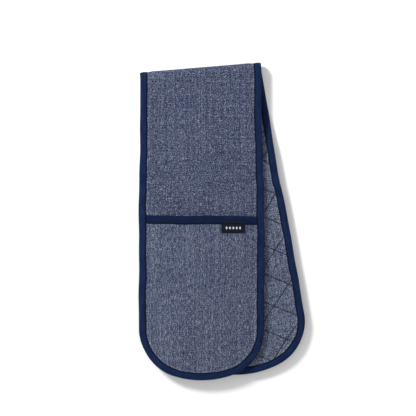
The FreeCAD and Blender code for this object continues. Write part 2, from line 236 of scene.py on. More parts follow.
# ------------------------------------------------------------------ each leaf's place
class Leaf:
    """One half of the strip, and where its flat points lie in the row frame."""

    def __init__(self, name, front, roof):
        self.name = name
        self.front = front
        self.roof = roof

    def drape(self, x, y):
        """The cloth's own unevenness: how far its points move across it, along it and up."""
        down = smooth((-y - 40) / 170)
        ease = smooth((-y - 20) / 60)
        wander = 0.35 * np.sin(y / 23.0) + 0.25 * np.sin(y / 9.1 + 0.5)
        if self.front:
            across = x * (-0.02 + 0.035 * down) + down
            across += wander * ease - 0.014 * x * smooth((-y - 330) / 70)
            along = 0.0
            up = 0.35 + 0.3 * np.sin(x / 29 + y / 47) + 0.25 * np.sin(y / 31 - x / 53 + 2)
        else:
            waist = 0.034 * np.exp(-(((y + 155) / 48) ** 2))
            along = 2.5 * smooth((-y - 290) / 120)
            across = x * (-0.014 + 0.026 * down - waist)
            across += 0.8 * wander * ease
            up = 0.12 * np.sin(x / 31 - y / 37 + 1) - 0.05
        return across, along, up * ease

    def sag(self, x, y):
        """How far the free side of the front leaf hangs below the rest."""
        free = np.clip(-HALF_WIDTH - y * math.tan(2 * SKEW) - x, 0.0, None)
        return 5.0 * (free / 70) ** 2

    def drop(self, y):
        """How far the rear leaf comes down from its pocket to the fold."""
        t = np.clip((y + DROP_END) / (DROP_END - DROP_START), 0, 1)
        return REAR_DROP * np.where(t < 0.5, 2 * t * t, 1 - 2 * (1 - t) ** 2)

    def place(self, x, y, w):
        """Flat points in the row frame, in metres. w is their height outwards from the padding's middle."""
        x, y, w = np.broadcast_arrays(*(np.asarray(v, float) for v in (x, y, w)))
        past = y * math.cos(SKEW) - x * math.sin(SKEW)
        across, along, up = self.drape(x, y)
        x = x + across
        y = y + along
        if self.front:
            flat_x, flat_y = x, y
            z = FRONT_LEVEL + w + up - self.sag(x, y)
        else:
            turn_c, turn_s = math.cos(2 * SKEW), math.sin(2 * SKEW)
            flat_x = -x * turn_c - y * turn_s
            flat_y = -x * turn_s + y * turn_c
            z = REAR_LEVEL - w + up - self.drop(y)
        sign = 1 if self.front else -1
        angle = sign * (math.pi / 2 - past / FOLD_RADIUS)
        on_axis = sign * x / math.cos(SKEW)
        radius = FOLD_RADIUS + w
        bent_x = on_axis * ALONG[0] + radius * np.cos(angle) * OUT[0]
        bent_y = on_axis * ALONG[1] + radius * np.cos(angle) * OUT[1]
        bent_z = FOLD_LEVEL + radius * np.sin(angle)
        bent = past > 0
        return MM * np.stack(
            [
                CENTRE[0] + np.where(bent, bent_x, flat_x),
                CENTRE[1] + np.where(bent, bent_y, flat_y),
                np.where(bent, bent_z, z),
            ],
            -1,
        )

    def on_strip(self, x, y):
        """Turns a leaf's flat point into one on the whole strip laid out flat, and the other way."""
        return (x, 2 * FOLD_RUN - y) if self.front else (-x, y)


FRONT = Leaf("front", True, 9.9)
REAR = Leaf("rear", False, 11.1)


# ------------------------------------------------------------------ quilting
def quilt_phases(x, y):
    """How many lines of each family a point on the flat strip is past the crossing."""
    phases = []
    for angle, spacing in QUILT_FAMILIES:
        turn = math.radians(angle)
        past = (y - QUILT_CROSSING[1]) * math.cos(turn) - (x - QUILT_CROSSING[0]) * math.sin(turn)
        phases.append(past / spacing)
    return phases


def stitch_distance(x, y):
    """How far a point on the flat strip is from the nearest line of quilting."""
    return np.minimum(
        *(
            np.abs(phase - np.round(phase)) * spacing
            for phase, (_, spacing) in zip(quilt_phases(x, y), QUILT_FAMILIES)
        )
    )


class Quilting:
    """How high the quilted cloth stands between its lines of stitching, from 0 at a line to 1."""

    PITCH = 3.0
    FRAMES = 22

    def __init__(self):
        half, low, high = HALF_WIDTH + 4, -LENGTH - 4, 2 * FOLD_RUN + LENGTH + 4
        self.x = np.arange(-half, half + self.PITCH, self.PITCH)
        self.y = np.arange(low, high + self.PITCH, self.PITCH)
        x, y = np.meshgrid(self.x, self.y)
        self.height = self.simulate(x, y)

    @staticmethod
    def plain(x, y):
        """A quick stand-in for the simulated height."""
        a, b = quilt_phases(x, y)
        return (np.abs(np.sin(math.pi * a)) * np.abs(np.sin(math.pi * b))) ** 0.55

    def simulate(self, x, y):
        """Holds a flat cloth along its lines of stitching, and lets the wadding push the rest out."""
        # Cloth is made for things a metre or so wide, so a millimetre here is a tenth of a unit.
        scale = 0.1
        rows, columns = x.shape
        points = np.stack([x, y, np.zeros_like(x)], -1).reshape(-1, 3) * scale
        mesh = bpy.data.meshes.new("quilting_cloth")
        mesh.from_pydata(points.tolist(), [], quads(rows, columns))
        cloth = bpy.data.objects.new("quilting_cloth", mesh)
        bpy.context.scene.collection.objects.link(cloth)
        held = np.clip(1.6 - stitch_distance(x, y) / self.PITCH * 1.9, 0, 1).reshape(-1)
        pins = cloth.vertex_groups.new(name="stitching")
        for index in np.nonzero(held > 0)[0]:
            pins.add([int(index)], float(held[index]), "REPLACE")
        settings = cloth.modifiers.new("cloth", "CLOTH").settings
        settings.vertex_group_mass = "stitching"
        settings.use_pressure = True
        settings.uniform_pressure_force = 6.0
        settings.effector_weights.gravity = 0.0
        settings.shrink_min = -0.035
        settings.tension_stiffness = 18.0
        settings.compression_stiffness = 18.0
        settings.shear_stiffness = 8.0
        settings.bending_stiffness = 0.6
        settings.quality = 5
        scene = bpy.context.scene
        for number in range(1, self.FRAMES + 1):
            scene.frame_set(number)
        shaped = cloth.evaluated_get(bpy.context.evaluated_depsgraph_get()).to_mesh()
        heights = np.zeros(len(points) * 3)
        shaped.vertices.foreach_get("co", heights)
        heights = heights.reshape(rows, columns, 3)[:, :, 2] / scale
        scene.frame_set(1)
        bpy.data.objects.remove(cloth)
        bpy.data.meshes.remove(mesh)
        heights = np.abs(heights)
        return np.clip(heights / np.percentile(heights, 97), 0.0, 1.15)

    def at(self, x, y):
        """The height at points on the flat strip."""
        column = np.clip((x - self.x[0]) / self.PITCH, 0, len(self.x) - 1.001)
        row = np.clip((y - self.y[0]) / self.PITCH, 0, len(self.y) - 1.001)
        i, j = row.astype(int), column.astype(int)
        u, v = row - i, column - j
        h = self.height
        height = (
            h[i, j] * (1 - u) * (1 - v)
            + h[i + 1, j] * u * (1 - v)
            + h[i, j + 1] * (1 - u) * v
            + h[i + 1, j + 1] * u * v
        )
        full = np.clip(height, 0, 1) ** 0.5
        return full - 0.07 * self.puckers(x, y)

    @staticmethod
    def puckers(x, y):
        """Small folds across the lines of stitching, which fade away from them."""
        total = 0.0
        for phase, (angle, spacing) in zip(quilt_phases(x, y), QUILT_FAMILIES):
            turn = math.radians(angle)
            run = x * math.cos(turn) + y * math.sin(turn)
            away = np.abs(phase - np.round(phase)) * spacing
            folds = 0.5 + 0.5 * np.sin(run * 1.25 + 1.5 * np.sin(run / 9.0))
            total = total + folds * np.exp(-away / 4.5) * smooth(away / 1.5)
        return total


def quads(rows, columns):
    """The faces of a grid of points, row by row."""
    corner = (np.arange(rows - 1)[:, None] * columns + np.arange(columns - 1)[None, :]).reshape(-1)
    return np.stack([corner, corner + 1, corner + columns + 1, corner + columns], 1).tolist()


quilting = Quilting()


# ------------------------------------------------------------------ how high each layer lies
def strip_half(x, y):
    """Half the strip's thickness, to the middle of its cloth: pinched where the binding holds it."""
    inside = edge_distance(x, y)
    swell = 0.25 * smooth((inside - 10) / 8) * smooth((30 - inside) / 14)
    return EDGE_HALF + (FULL_HALF - EDGE_HALF) * smooth((inside - 8) / 12) + swell


def gathers(x, y):
    """Small puckers in the cloth beside the binding."""
    inside = edge_distance(x, y)
    fade = np.exp(-np.clip(inside - 10, 0, None) / 7) * smooth((inside - 7) / 3)
    run = y + 0.8 * np.abs(x)
    return fade * (0.16 * np.sin(run / 1.35) + 0.12 * np.sin(run / 2.6 + 1.3))


def face_level(x, y):
    """The plain side of the strip."""
    return strip_half(x, y) + gathers(x, y) * smooth((-y - 10) / 20)


def back_level(leaf, x, y):
    """The quilted side of the strip."""
    inside = edge_distance(x, y)
    pull = STITCH_PULL * smooth((inside - 7) / 9)
    return -strip_half(x, y) + pull * (1 - quilting.at(*leaf.on_strip(x, y)))


def pocket_rise(x, y):
    """How far up from its seams to its roof the pocket is, from 0 to 1."""
    inside = edge_distance(x, y) - BINDING_WIDTH
    return smooth(inside / 66) * 0.85 + 0.15 * smooth(inside / 20)


def mouth_pinch(x, y):
    """1 at the pocket's mouth, where its layers are sewn together, and 0 inside."""
    return 1 - smooth((mouth_line(x) - y - 6) / 14)


def pocket_level(leaf, x, y):
    """The pocket's outer cloth."""
    puff = 0.22 * np.sin(x / 19 + y / 33 + 1) + 0.12 * np.sin(x / 8 - y / 15)
    rise = pocket_rise(x, y)
    return (
        POCKET_EDGE
        + (leaf.roof - POCKET_EDGE) * rise
        + (puff - 0.1) * rise * (1 - mouth_pinch(x, y))
        - 0.5 * mouth_pinch(x, y)
        + 0.8 * gathers(x, y)
    )


def lining_level(leaf, x, y):
    """The pocket's lining."""
    plain = LINING_EDGE + (leaf.roof - POCKET_DEPTH - LINING_EDGE) * pocket_rise(x, y)
    pinch = mouth_pinch(x, y)
    return plain * (1 - pinch) + (pocket_level(leaf, x, y) - (CLOTH + LINING_CLOTH) / 2) * pinch


def over_pocket(y):
    """How much of the pocket's layers the edge binding takes in: 0 above the mouth and 1 below it."""
    return smooth((MOUTH + 7 - y) / 9)


def over_mouth(y):
    """1 where the edge binding passes over the mouth binding's end."""
    return smooth((MOUTH + 6 - y) / 7) * smooth((y - MOUTH + BINDING_WIDTH + 7) / 8)


def binding_lift(y):
    """How much higher the edge binding stands over the pocket's layers and the mouth binding's end."""
    return 1.85 * over_pocket(y) + 0.35 * over_mouth(y)


# ------------------------------------------------------------------ meshes
def object_from(name, points, faces, flat):
    """A smooth mesh object with its flat coordinates as its UV map, in units of 100 mm."""
    mesh = bpy.data.meshes.new(name)
    mesh.from_pydata(points.tolist(), [], faces)
    layer = mesh.uv_layers.new(name="flat")
    corners = np.zeros(len(mesh.loops), int)
    mesh.loops.foreach_get("vertex_index", corners)
    layer.data.foreach_set("uv", (flat[corners] / 100).reshape(-1).astype(np.float32))
    mesh.shade_smooth()
    mesh.set_sharp_from_angle(angle=math.radians(55))
    made = bpy.data.objects.new(name, mesh)
    bpy.context.scene.collection.objects.link(made)
    return made


def volume_of(points, faces):
    """Six times the signed volume inside a closed mesh of four-sided faces."""
    corner = points[np.array(faces)]
    first = np.cross(corner[:, 1], corner[:, 2])
    second = np.cross(corner[:, 2], corner[:, 3])
    return float((corner[:, 0] * (first + second)).sum())


def layer(name, outer, inner, flat):
    """A closed layer between two grids of points."""
    rows, columns = outer.shape[:2]
    count = rows * columns
    points = np.concatenate([outer.reshape(-1, 3), inner.reshape(-1, 3)])
    faces = quads(rows, columns)
    faces += [[count + i for i in reversed(face)] for face in quads(rows, columns)]
    border = list(range(columns))
    border += [i * columns + columns - 1 for i in range(1, rows)]
    border += [(rows - 1) * columns + j for j in range(columns - 2, -1, -1)]
    border += [i * columns for i in range(rows - 2, 0, -1)]
    for a, b in zip(border, border[1:] + border[:1]):
        faces.append([b, a, count + a, count + b])
    if volume_of(points, faces) < 0:
        faces = [face[::-1] for face in faces]
    both = np.concatenate([flat.reshape(-1, 2)] * 2)
    return object_from(name, points, faces, both)


def cloth_layer(name, leaf, x, y, level, thickness):
    """A layer of even thickness whose middle is at a level."""
    outer = leaf.place(x, y, level + thickness / 2)
    inner = leaf.place(x, y, level - thickness / 2)
    made = layer(name, outer, inner, np.stack(leaf.on_strip(x, y), -1))
    inside = made.data.attributes.new("inside", "FLOAT", "POINT")
    inside.data.foreach_set("value", np.tile(edge_distance(x, y).reshape(-1), 2).astype(np.float32))
    return made


# The section of a binding: the distance in from its edge, and the height over the cloth that it holds.
TAPE_SECTION = (
    (10.35, -0.70),
    (10.45, -0.36),
    (10.25, -0.08),
    (9.80, 0.02),
    (9.40, -0.16),
    (8.95, -0.34),
    (8.45, -0.20),
    (7.60, 0.0),
    (6.40, 0.09),
    (4.60, 0.14),
    (3.00, 0.04),
    (1.70, -0.22),
    (0.80, -0.62),
)
TAPE_STITCH = 8.95


def tape_path(points):
    """The distances and the heights of a section's points, a row for each place along the tape."""
    heights = np.stack([height for _, height in points], 1)
    distances = np.broadcast_to([distance for distance, _ in points], heights.shape)
    return distances, heights


def tape_section(top, bottom):
    """The outer and inner path of a tape wrapped round an edge, between two heights."""
    middle, half = (top + bottom) / 2, (top - bottom) / 2
    outer, inner = [], []
    for distance, lift in TAPE_SECTION:
        outer.append((distance, top + lift))
        inner.append((max(distance, 1.5), np.maximum(top + lift - TAPE, middle + 0.1)))
    for turn in (50, 25, 0, -25, -50):
        angle = math.radians(turn)
        outer.append((0.9 - 0.9 * math.cos(angle), middle + 1.1 * (half - 0.75) * math.sin(angle)))
        inner.append((1.55, middle + 0.08 * math.sin(angle)))
    for distance, lift in reversed(TAPE_SECTION):
        outer.append((distance, bottom - lift))
        inner.append((max(distance, 1.5), np.minimum(bottom - lift + TAPE, middle - 0.1)))
    return tape_path(outer), tape_path(inner)


def tape_width(outer):
    """How far each point of a tape's section is from the tape's nearer long edge, along the tape."""
    step = np.hypot(np.diff(outer[0], axis=1), np.diff(outer[1], axis=1))
    run = np.concatenate([np.zeros((len(step), 1)), np.cumsum(step, 1)], 1)
    return np.minimum(run, run[:, -1:] - run)


def edge_binding(leaf):
    """The bias tape round half a strip's edge."""
    points, inward = outline()
    y = points[:, 1]
    top = BINDING_TOP + binding_lift(y)
    bottom = np.full_like(top, -BINDING_TOP)
    run = np.concatenate([[0], np.cumsum(np.hypot(*np.diff(points, axis=0).T))])
    wave = 0.25 * np.sin(run / 11) + 0.2 * np.sin(run / 4.7 + 1)
    outer, inner = tape_section(top, bottom)
    grids = []
    for distance, height in (outer, inner):
        deep = distance + wave[:, None] * smooth((distance - 4) / 5)
        x = points[:, 0, None] + inward[:, 0, None] * deep
        rise = y[:, None] + inward[:, 1, None] * deep
        rise = rise + x * math.tan(SKEW) * shear(y)[:, None]
        grids.append(leaf.place(x, rise, height))
    flat = np.stack([np.broadcast_to(run[:, None], outer[0].shape), tape_width(outer)], -1)
    return layer(f"{leaf.name}_edge_binding_tape", grids[0], grids[1], flat)


def over_label(x, distance):
    """1 where the mouth binding passes over the label, at a distance down from the mouth."""
    beside = smooth((x - LABEL_LEFT + 3) / 5) * smooth((LABEL_RIGHT + 3 - x) / 5)
    return beside * smooth((distance - 7) / 3)


def mouth_binding(leaf, side):
    """Half of the tape over a pocket's mouth."""
    x = side * np.linspace(HALF_WIDTH - 4.0, 0.0, 44)
    near = pocket_level(leaf, x, mouth_line(x) - 2)
    outer, inner = tape_section(near + CLOTH / 2 + TAPE, near - CLOTH / 2 - LINING_CLOTH - TAPE)
    grids = []
    for distance, height in (outer, inner):
        wide = np.broadcast_to(x[:, None], distance.shape)
        y = mouth_line(wide) - MOUTH_BINDING_SCALE * distance
        outside = height > near[:, None]
        height = height + pocket_level(leaf, wide, y) - near[:, None]
        if leaf.front:
            height = height + 0.5 * over_label(wide, distance) * outside
        grids.append(leaf.place(wide, y, height))
    flat = np.stack([np.broadcast_to(x[:, None], outer[0].shape), tape_width(outer)], -1)
    name = "left" if side < 0 else "right"
    return layer(f"{leaf.name}_mouth_binding_{name}", grids[0], grids[1], flat)


def stitches(name, leaf, runs, radius=0.27, length=2.3, gap=0.9):
    """Rows of short stitches. A run is a line of flat points, their height's function, and the way out."""
    along = np.array([0.0, 0.2, 0.5, 0.8, 1.0])
    lift = np.array([-0.35, 0.06, 0.14, 0.06, -0.35])
    thick = np.array([0.4, 0.9, 1.0, 0.9, 0.4]) * radius
    sides = np.arange(6) * math.pi / 3
    rings = []
    for path, height, way in runs:
        step = np.hypot(*np.diff(path, axis=0).T)
        run = np.concatenate([[0], np.cumsum(step)])
        starts = np.arange(0.6, run[-1] - length, length + gap)
        at = starts[:, None] + along[None, :] * length
        x = np.interp(at, run, path[:, 0])
        y = np.interp(at, run, path[:, 1])
        dx, dy = np.gradient(x, axis=1), np.gradient(y, axis=1)
        size = np.maximum(np.hypot(dx, dy), 1e-9)
        side_x, side_y = -dy / size, dx / size
        level = height(x, y) + way * lift
        offset = thick[None, :, None] * np.cos(sides)
        rise = thick[None, :, None] * np.sin(sides)
        rings.append(
            leaf.place(
                x[:, :, None] + side_x[:, :, None] * offset,
                y[:, :, None] + side_y[:, :, None] * offset,
                level[:, :, None] + rise,
            )
        )
    rings = np.concatenate(rings)
    count, rows, columns = rings.shape[:3]
    points = rings.reshape(-1, 3)
    faces = []
    for base in range(0, len(points), rows * columns):
        for ring in range(base, base + (rows - 1) * columns, columns):
            for k in range(columns):
                a, b = ring + k, ring + (k + 1) % columns
                faces.append([a, b, b + columns, a + columns])
        last = base + (rows - 1) * columns
        faces.append(list(range(base + columns - 1, base - 1, -1)))
        faces.append(list(range(last, last + columns)))
    flat = np.zeros((len(points), 2))
    flat[:, 0] = np.repeat(np.arange(count), rows * columns)
    flat[:, 1] = np.tile(np.repeat(np.arange(rows), columns), count) * 0.5
    return object_from(name, points, faces, flat)


# ------------------------------------------------------------------ materials
# How far apart the threads lie in each cloth, in millimetres.
CHAMBRAY_PITCH = 0.62
TAPE_PITCH = 0.4
LINING_PITCH = 0.5
LABEL_PITCH = 0.3


class Shader:
    """Builds one material out of nodes."""

    def __init__(self, name):
        self.material = bpy.data.materials.new(name)
        self.material.use_nodes = True
        self.tree = self.material.node_tree
        self.tree.nodes.clear()

    def add(self, kind, inputs=None, **settings):
        """Adds a node, sets it up, and fills its inputs with values or links."""
        node = self.tree.nodes.new(kind)
        for key, value in settings.items():
            setattr(node, key, value)
        for key, value in (inputs or {}).items():
            if isinstance(value, bpy.types.NodeSocket):
                self.tree.links.new(value, node.inputs[key])
            else:
                node.inputs[key].default_value = value
        return node

    def math(self, operation, a, b=0.0, c=0.0):
        """One sum."""
        return self.add("ShaderNodeMath", {0: a, 1: b, 2: c}, operation=operation).outputs[0]

    def flat(self, across=1.0, along=1.0, shift=(0.0, 0.0), pitch=0.0):
        """The flat coordinates in millimetres, times a factor. A pitch makes them even over a crossing."""
        place = self.add("ShaderNodeUVMap", uv_map="flat").outputs[0]
        if pitch:
            step = (pitch / 100, pitch / 100, 1.0)
            place = self.add("ShaderNodeVectorMath", {0: place, 1: step}, operation="SNAP").outputs[0]
        scale = (100 * across, 100 * along, 1.0)
        return self.add("ShaderNodeMapping", {0: place, 1: (*shift, 0.0), 3: scale}).outputs[0]

    def noise(self, vector, detail=2.0, rough=0.5):
        """Noise of about one blob to a unit."""
        node = self.add(
            "ShaderNodeTexNoise",
            {"Vector": vector, "Scale": 1.0, "Detail": detail, "Roughness": rough},
            noise_dimensions="2D",
        )
        return node.outputs[0]

    def wave(self, vector, axis):
        """An even rise and fall along one axis, once to a unit."""
        part = self.add("ShaderNodeSeparateXYZ", {0: vector}).outputs[axis]
        return self.math("SINE", self.math("MULTIPLY", part, 2 * math.pi))

    def weave(self, pitch):
        """Above 0 where one thread of a plain weave lies on top, and below 0 where the other does."""
        threads = self.flat(0.5 / pitch, 0.5 / pitch)
        return self.math("MULTIPLY", self.wave(threads, 0), self.wave(threads, 1))

    def ramp(self, factor, stops):
        """Colours at positions along a factor."""
        node = self.add("ShaderNodeValToRGB", {0: factor})
        node.color_ramp.interpolation = "EASE"
        while len(node.color_ramp.elements) < len(stops):
            node.color_ramp.elements.new(0.5)
        for element, (position, colour) in zip(node.color_ramp.elements, stops):
            element.position = position
            element.color = (*colour, 1.0)
        return node.outputs[0]

    def finish(self, colour, height, depth, rough=0.85, **sockets):
        """Ends the material in a shader with that colour and relief, depth in millimetres."""
        bump = self.add("ShaderNodeBump", {"Height": height, "Strength": 1.0, "Distance": depth * MM})
        inputs = {"Base Color": colour, "Normal": bump.outputs[0], "Roughness": rough}
        inputs.update({key.replace("_", " "): value for key, value in sockets.items()})
        shader = self.add("ShaderNodeBsdfPrincipled", inputs)
        self.add("ShaderNodeOutputMaterial", {0: shader.outputs[0]})
        return self.material


def linear(r, g, b):
    """A screen colour of 0 to 255 as linear light."""
    values = (v / 255 for v in (r, g, b))
    return tuple(v / 12.92 if v <= 0.04045 else ((v + 0.055) / 1.055) ** 2.4 for v in values)


def thread_variation(s, across=1.0, along=1.0):
    """The cloth's uneven threads, about 0: a speckle at their crossings, and long pale and dark ones."""
    parts = (
        (0.86, 0.80, (3.0, 31.0), 2.0, 2.0),
        (0.13, 0.9, (0.0, 0.0), 2.0, 0.50 * across),
        (0.9, 0.14, (17.0, 5.0), 2.0, 0.80 * along),
        (0.008, 0.75, (2.0, 8.0), 1.0, 0.30 * across),
        (0.75, 0.006, (9.0, 4.0), 1.0, 0.36 * along),
        (0.022, 0.022, (7.0, 11.0), 2.0, 0.05),
    )
    total = 0.0
    for wide, long, shift, detail, weight in parts:
        value = s.noise(s.flat(wide, long, shift, CHAMBRAY_PITCH), detail, 0.65)
        total = s.math("MULTIPLY_ADD", s.math("SUBTRACT", value, 0.5), weight, total)
    return total


def slubs(s, across, along, shift, least):
    """Rare thick pale threads."""
    value = s.noise(s.flat(across, along, shift, CHAMBRAY_PITCH), 1.0)
    over = s.math("MULTIPLY", s.math("SUBTRACT", value, least), 7.0)
    return s.math("MAXIMUM", s.math("MINIMUM", over, 0.7), 0.0)


def chambray(name, level, contrast, across=1.0, along=1.0, quilted=False):
    """Plain woven cloth of navy and pale threads, with uneven thicker threads both ways."""
    s = Shader(name)
    total = s.math("MULTIPLY_ADD", thread_variation(s, across, along), contrast, level)
    # A paler band just inside the binding, all round the edge: painted highlight on the cloth's ridge there.
    inside = s.add("ShaderNodeAttribute", attribute_name="inside").outputs["Fac"]
    beside = s.math("ABSOLUTE", s.math("SUBTRACT", inside, BINDING_WIDTH + 1.6))
    ridge_highlight = s.math("MAXIMUM", s.math("SUBTRACT", 1.0, s.math("DIVIDE", beside, 2.0)), 0.0)
    total = s.math("MULTIPLY_ADD", ridge_highlight, 0.09, total)
    weave = s.weave(CHAMBRAY_PITCH)
    total = s.math("MULTIPLY_ADD", weave, 0.16, total)
    total = s.math("ADD", total, slubs(s, 0.13, 1.1, (41.0, 13.0), 0.775))
    total = s.math("ADD", total, slubs(s, 1.1, 0.13, (23.0, 61.0), 0.785))
    colour = s.ramp(
        total,
        (
            (0.0, linear(22, 29, 50)),
            (0.30, linear(45, 52, 78)),
            (0.60, linear(80, 88, 111)),
            (1.0, linear(158, 166, 181)),
        ),
    )
    height = s.math("MULTIPLY_ADD", s.math("ABSOLUTE", weave), 1.2, s.math("MULTIPLY", total, 0.6))
    if quilted:
        seam = 0.0
        for angle, spacing in QUILT_FAMILIES:
            seam = s.math("MAXIMUM", seam, quilt_line(s, angle, spacing))
        # The dark line along each row of quilting is partly the thread's colour and partly painted shade in
        # the stitched valley.
        dark = s.math("MULTIPLY", seam, 0.8)
        thread = (*linear(14, 19, 36), 1.0)
        colour = s.add("ShaderNodeMix", {0: dark, 6: colour, 7: thread}, data_type="RGBA").outputs[2]
        height = s.math("MULTIPLY_ADD", seam, -2.5, height)
    return s.finish(colour, height, 0.22, 0.95, Specular_IOR_Level=0.06)


def quilt_line(s, angle, spacing, half=0.6):
    """1 on one family of quilting lines, and 0 a millimetre to either side."""
    turn = math.radians(angle)
    parts = s.add("ShaderNodeSeparateXYZ", {0: s.flat()}).outputs
    start = QUILT_CROSSING[1] * math.cos(turn) - QUILT_CROSSING[0] * math.sin(turn)
    past = s.math("MULTIPLY_ADD", parts[0], -math.sin(turn) / spacing, -start / spacing)
    past = s.math("MULTIPLY_ADD", parts[1], math.cos(turn) / spacing, past)
    away = s.math("ABSOLUTE", s.math("SUBTRACT", past, s.math("ROUND", past)))
    near = s.math("SUBTRACT", 1.6, s.math("MULTIPLY", away, spacing / half))
    return s.math("MAXIMUM", s.math("MINIMUM", near, 1.0), 0.0)


def binding_tape(name, level):
    """Closely woven navy tape with a slight sheen, paler in worn patches, and with painted shade along the
    groove near each long edge.
    """
    s = Shader(name)
    weave = s.weave(TAPE_PITCH)
    patches = s.noise(s.flat(0.06, 0.16), 3.0, 0.6)
    fine = s.noise(s.flat(0.9, 0.9, (5.0, 9.0), TAPE_PITCH), 3.0, 0.6)
    total = s.math("MULTIPLY_ADD", s.math("SUBTRACT", patches, 0.5), 0.9, level)
    total = s.math("MULTIPLY_ADD", s.math("SUBTRACT", fine, 0.5), 1.8, total)
    total = s.math("MULTIPLY_ADD", weave, 0.06, total)
    colour = s.ramp(
        total,
        (
            (0.15, linear(9, 21, 48)),
            (0.5, linear(15, 31, 64)),
            (0.85, linear(25, 43, 80)),
        ),
    )
    # A near-black line along each long edge of the tape, over its stitching: painted shade in that groove.
    in_from_edge = s.add("ShaderNodeSeparateXYZ", {0: s.flat()}).outputs[1]
    beside = s.math("ABSOLUTE", s.math("SUBTRACT", in_from_edge, 1.45))
    groove_shade = s.math("MAXIMUM", s.math("SUBTRACT", 1.35, s.math("DIVIDE", beside, 1.2)), 0.0)
    shade = (*linear(3, 7, 20), 1.0)
    dark = s.math("MULTIPLY", s.math("MINIMUM", groove_shade, 1.0), 0.92)
    colour = s.add("ShaderNodeMix", {0: dark, 6: colour, 7: shade}, data_type="RGBA").outputs[2]
    height = s.math("MULTIPLY_ADD", s.math("ABSOLUTE", weave), 0.9, fine)
    return s.finish(
        colour,
        height,
        0.1,
        0.7,
        Sheen_Weight=0.02,
        Sheen_Roughness=0.5,
        Sheen_Tint=(0.45, 0.6, 1.0, 1.0),
        Specular_IOR_Level=0.06,
    )


def sewing_thread():
    """Twisted navy thread."""
    s = Shader("sewing_thread")
    twist = s.noise(s.flat(1.0, 2.0), 1.0)
    colour = s.ramp(twist, ((0.3, linear(16, 24, 46)), (0.7, linear(36, 46, 74))))
    return s.finish(colour, twist, 0.05, 0.7, Specular_IOR_Level=0.1)


def wadding_fleece():
    """Off-white polyester fleece."""
    s = Shader("wadding_fleece")
    tufts = s.noise(s.flat(0.4, 0.4), 6.0, 0.7)
    colour = s.ramp(tufts, ((0.3, linear(196, 192, 180)), (0.7, linear(232, 229, 220))))
    return s.finish(colour, tufts, 0.8, 0.95, Sheen_Weight=0.3)


def lining_cotton():
    """Plain dark blue cotton inside the pockets."""
    s = Shader("lining_cotton")
    weave = s.weave(LINING_PITCH)
    uneven = s.noise(s.flat(0.12, 0.8), 3.0, 0.6)
    total = s.math("MULTIPLY_ADD", weave, 0.1, uneven)
    colour = s.ramp(total, ((0.25, linear(38, 48, 76)), (0.75, linear(66, 76, 104))))
    return s.finish(colour, weave, 0.1, 0.9, Specular_IOR_Level=0.2)


def woven_label():
    """Black satin ribbon with a plain row of pale lozenges woven into it."""
    s = Shader("woven_label")
    weave = s.weave(LABEL_PITCH)
    parts = s.add("ShaderNodeSeparateXYZ", {0: s.flat(1.0, 1.0)}).outputs
    turn = s.math("FRACT", s.math("DIVIDE", parts[0], 4.6))
    repeat = s.math("ABSOLUTE", s.math("SUBTRACT", turn, 0.5))
    tall = s.math("ABSOLUTE", s.math("DIVIDE", s.math("SUBTRACT", parts[1], 10.6), 7.5))
    inside = s.math("LESS_THAN", s.math("ADD", repeat, tall), 0.30)
    band = s.math("LESS_THAN", s.math("ABSOLUTE", s.math("SUBTRACT", parts[0], 16.0)), 11.5)
    motif = s.math("MULTIPLY", inside, band)
    cloud = s.noise(s.flat(0.5, 0.5), 2.0)
    ground = s.ramp(cloud, ((0.3, linear(9, 12, 22)), (0.7, linear(18, 22, 36))))
    thread = s.ramp(weave, ((0.0, linear(190, 192, 196)), (1.0, linear(236, 237, 238))))
    colour = s.add("ShaderNodeMix", {0: motif, 6: ground, 7: thread}, data_type="RGBA").outputs[2]
    height = s.math("MULTIPLY_ADD", motif, 1.2, weave)
    return s.finish(colour, height, 0.06, 0.6, Specular_IOR_Level=0.1)


CHAMBRAY = chambray("chambray_strip", 0.465, 0.95)
QUILTED = chambray("chambray_quilted", 0.575, 0.95, quilted=True)
POCKET = chambray("chambray_pocket", 0.53, 0.8, across=0.45, along=1.45)
BINDING = binding_tape("binding_tape", 0.5)
MOUTH_BINDING = binding_tape("mouth_binding_tape", 0.18)
THREAD = sewing_thread()
WADDING = wadding_fleece()
LINING = lining_cotton()
LABEL = woven_label()


# ------------------------------------------------------------------ pieces
def bend_at_fold(piece, leaf):
    """Bakes the piece's transform into its mesh; both leaves take the same step."""
    if leaf.front:
        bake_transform(piece)
    else:
        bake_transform(piece)


def bend_at_pocket(piece, leaf, side):
    """Works out where the side seam and the pocket's middle lie, and bakes the piece's transform into its
    mesh.
    """
    seam = leaf.place(side * (HALF_WIDTH - BINDING_WIDTH), SHOULDER_Y, 0.0)
    middle = leaf.place(0.0, SHOULDER_Y, 0.0)
    seam[2] = middle[2]
    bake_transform(piece)


def finish_piece(piece, material, nodes=()):
    """Gives a piece its material, and hides the CAD nodes that it stands for."""
    piece.data.materials.append(material)
    if nodes:
        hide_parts(*nodes)
    return piece


def strip_layers(leaf):
    """The strip's face, wadding and quilted back, from the tip to the middle of the fold."""
    x, y = strip_grid(1.5, 2.6)
    face = cloth_layer(f"{leaf.name}_strip_cloth", leaf, x, y, face_level(x, y), CLOTH)
    finish_piece(face, CHAMBRAY, (f"{leaf.name}_strip_face", "fold_face"))
    bend_at_fold(face, leaf)

    x, y = strip_grid(1.5, 1.7)
    back = cloth_layer(f"{leaf.name}_quilted_cloth", leaf, x, y, back_level(leaf, x, y), CLOTH)
    finish_piece(back, QUILTED, (f"{leaf.name}_strip_back", "fold_back"))
    bend_at_fold(back, leaf)

    x, y = strip_grid(3.0, 3.2)
    over = face_level(x, y) - CLOTH / 2 - 0.05
    under = back_level(leaf, x, y) + CLOTH / 2 + 0.05
    outer, inner = leaf.place(x, y, over), leaf.place(x, y, np.minimum(under, over - 0.15))
    pad = layer(f"{leaf.name}_strip_padding", outer, inner, np.stack([x, y], -1))
    finish_piece(pad, WADDING, (f"{leaf.name}_strip_wadding", "fold_wadding"))
    bend_at_fold(pad, leaf)


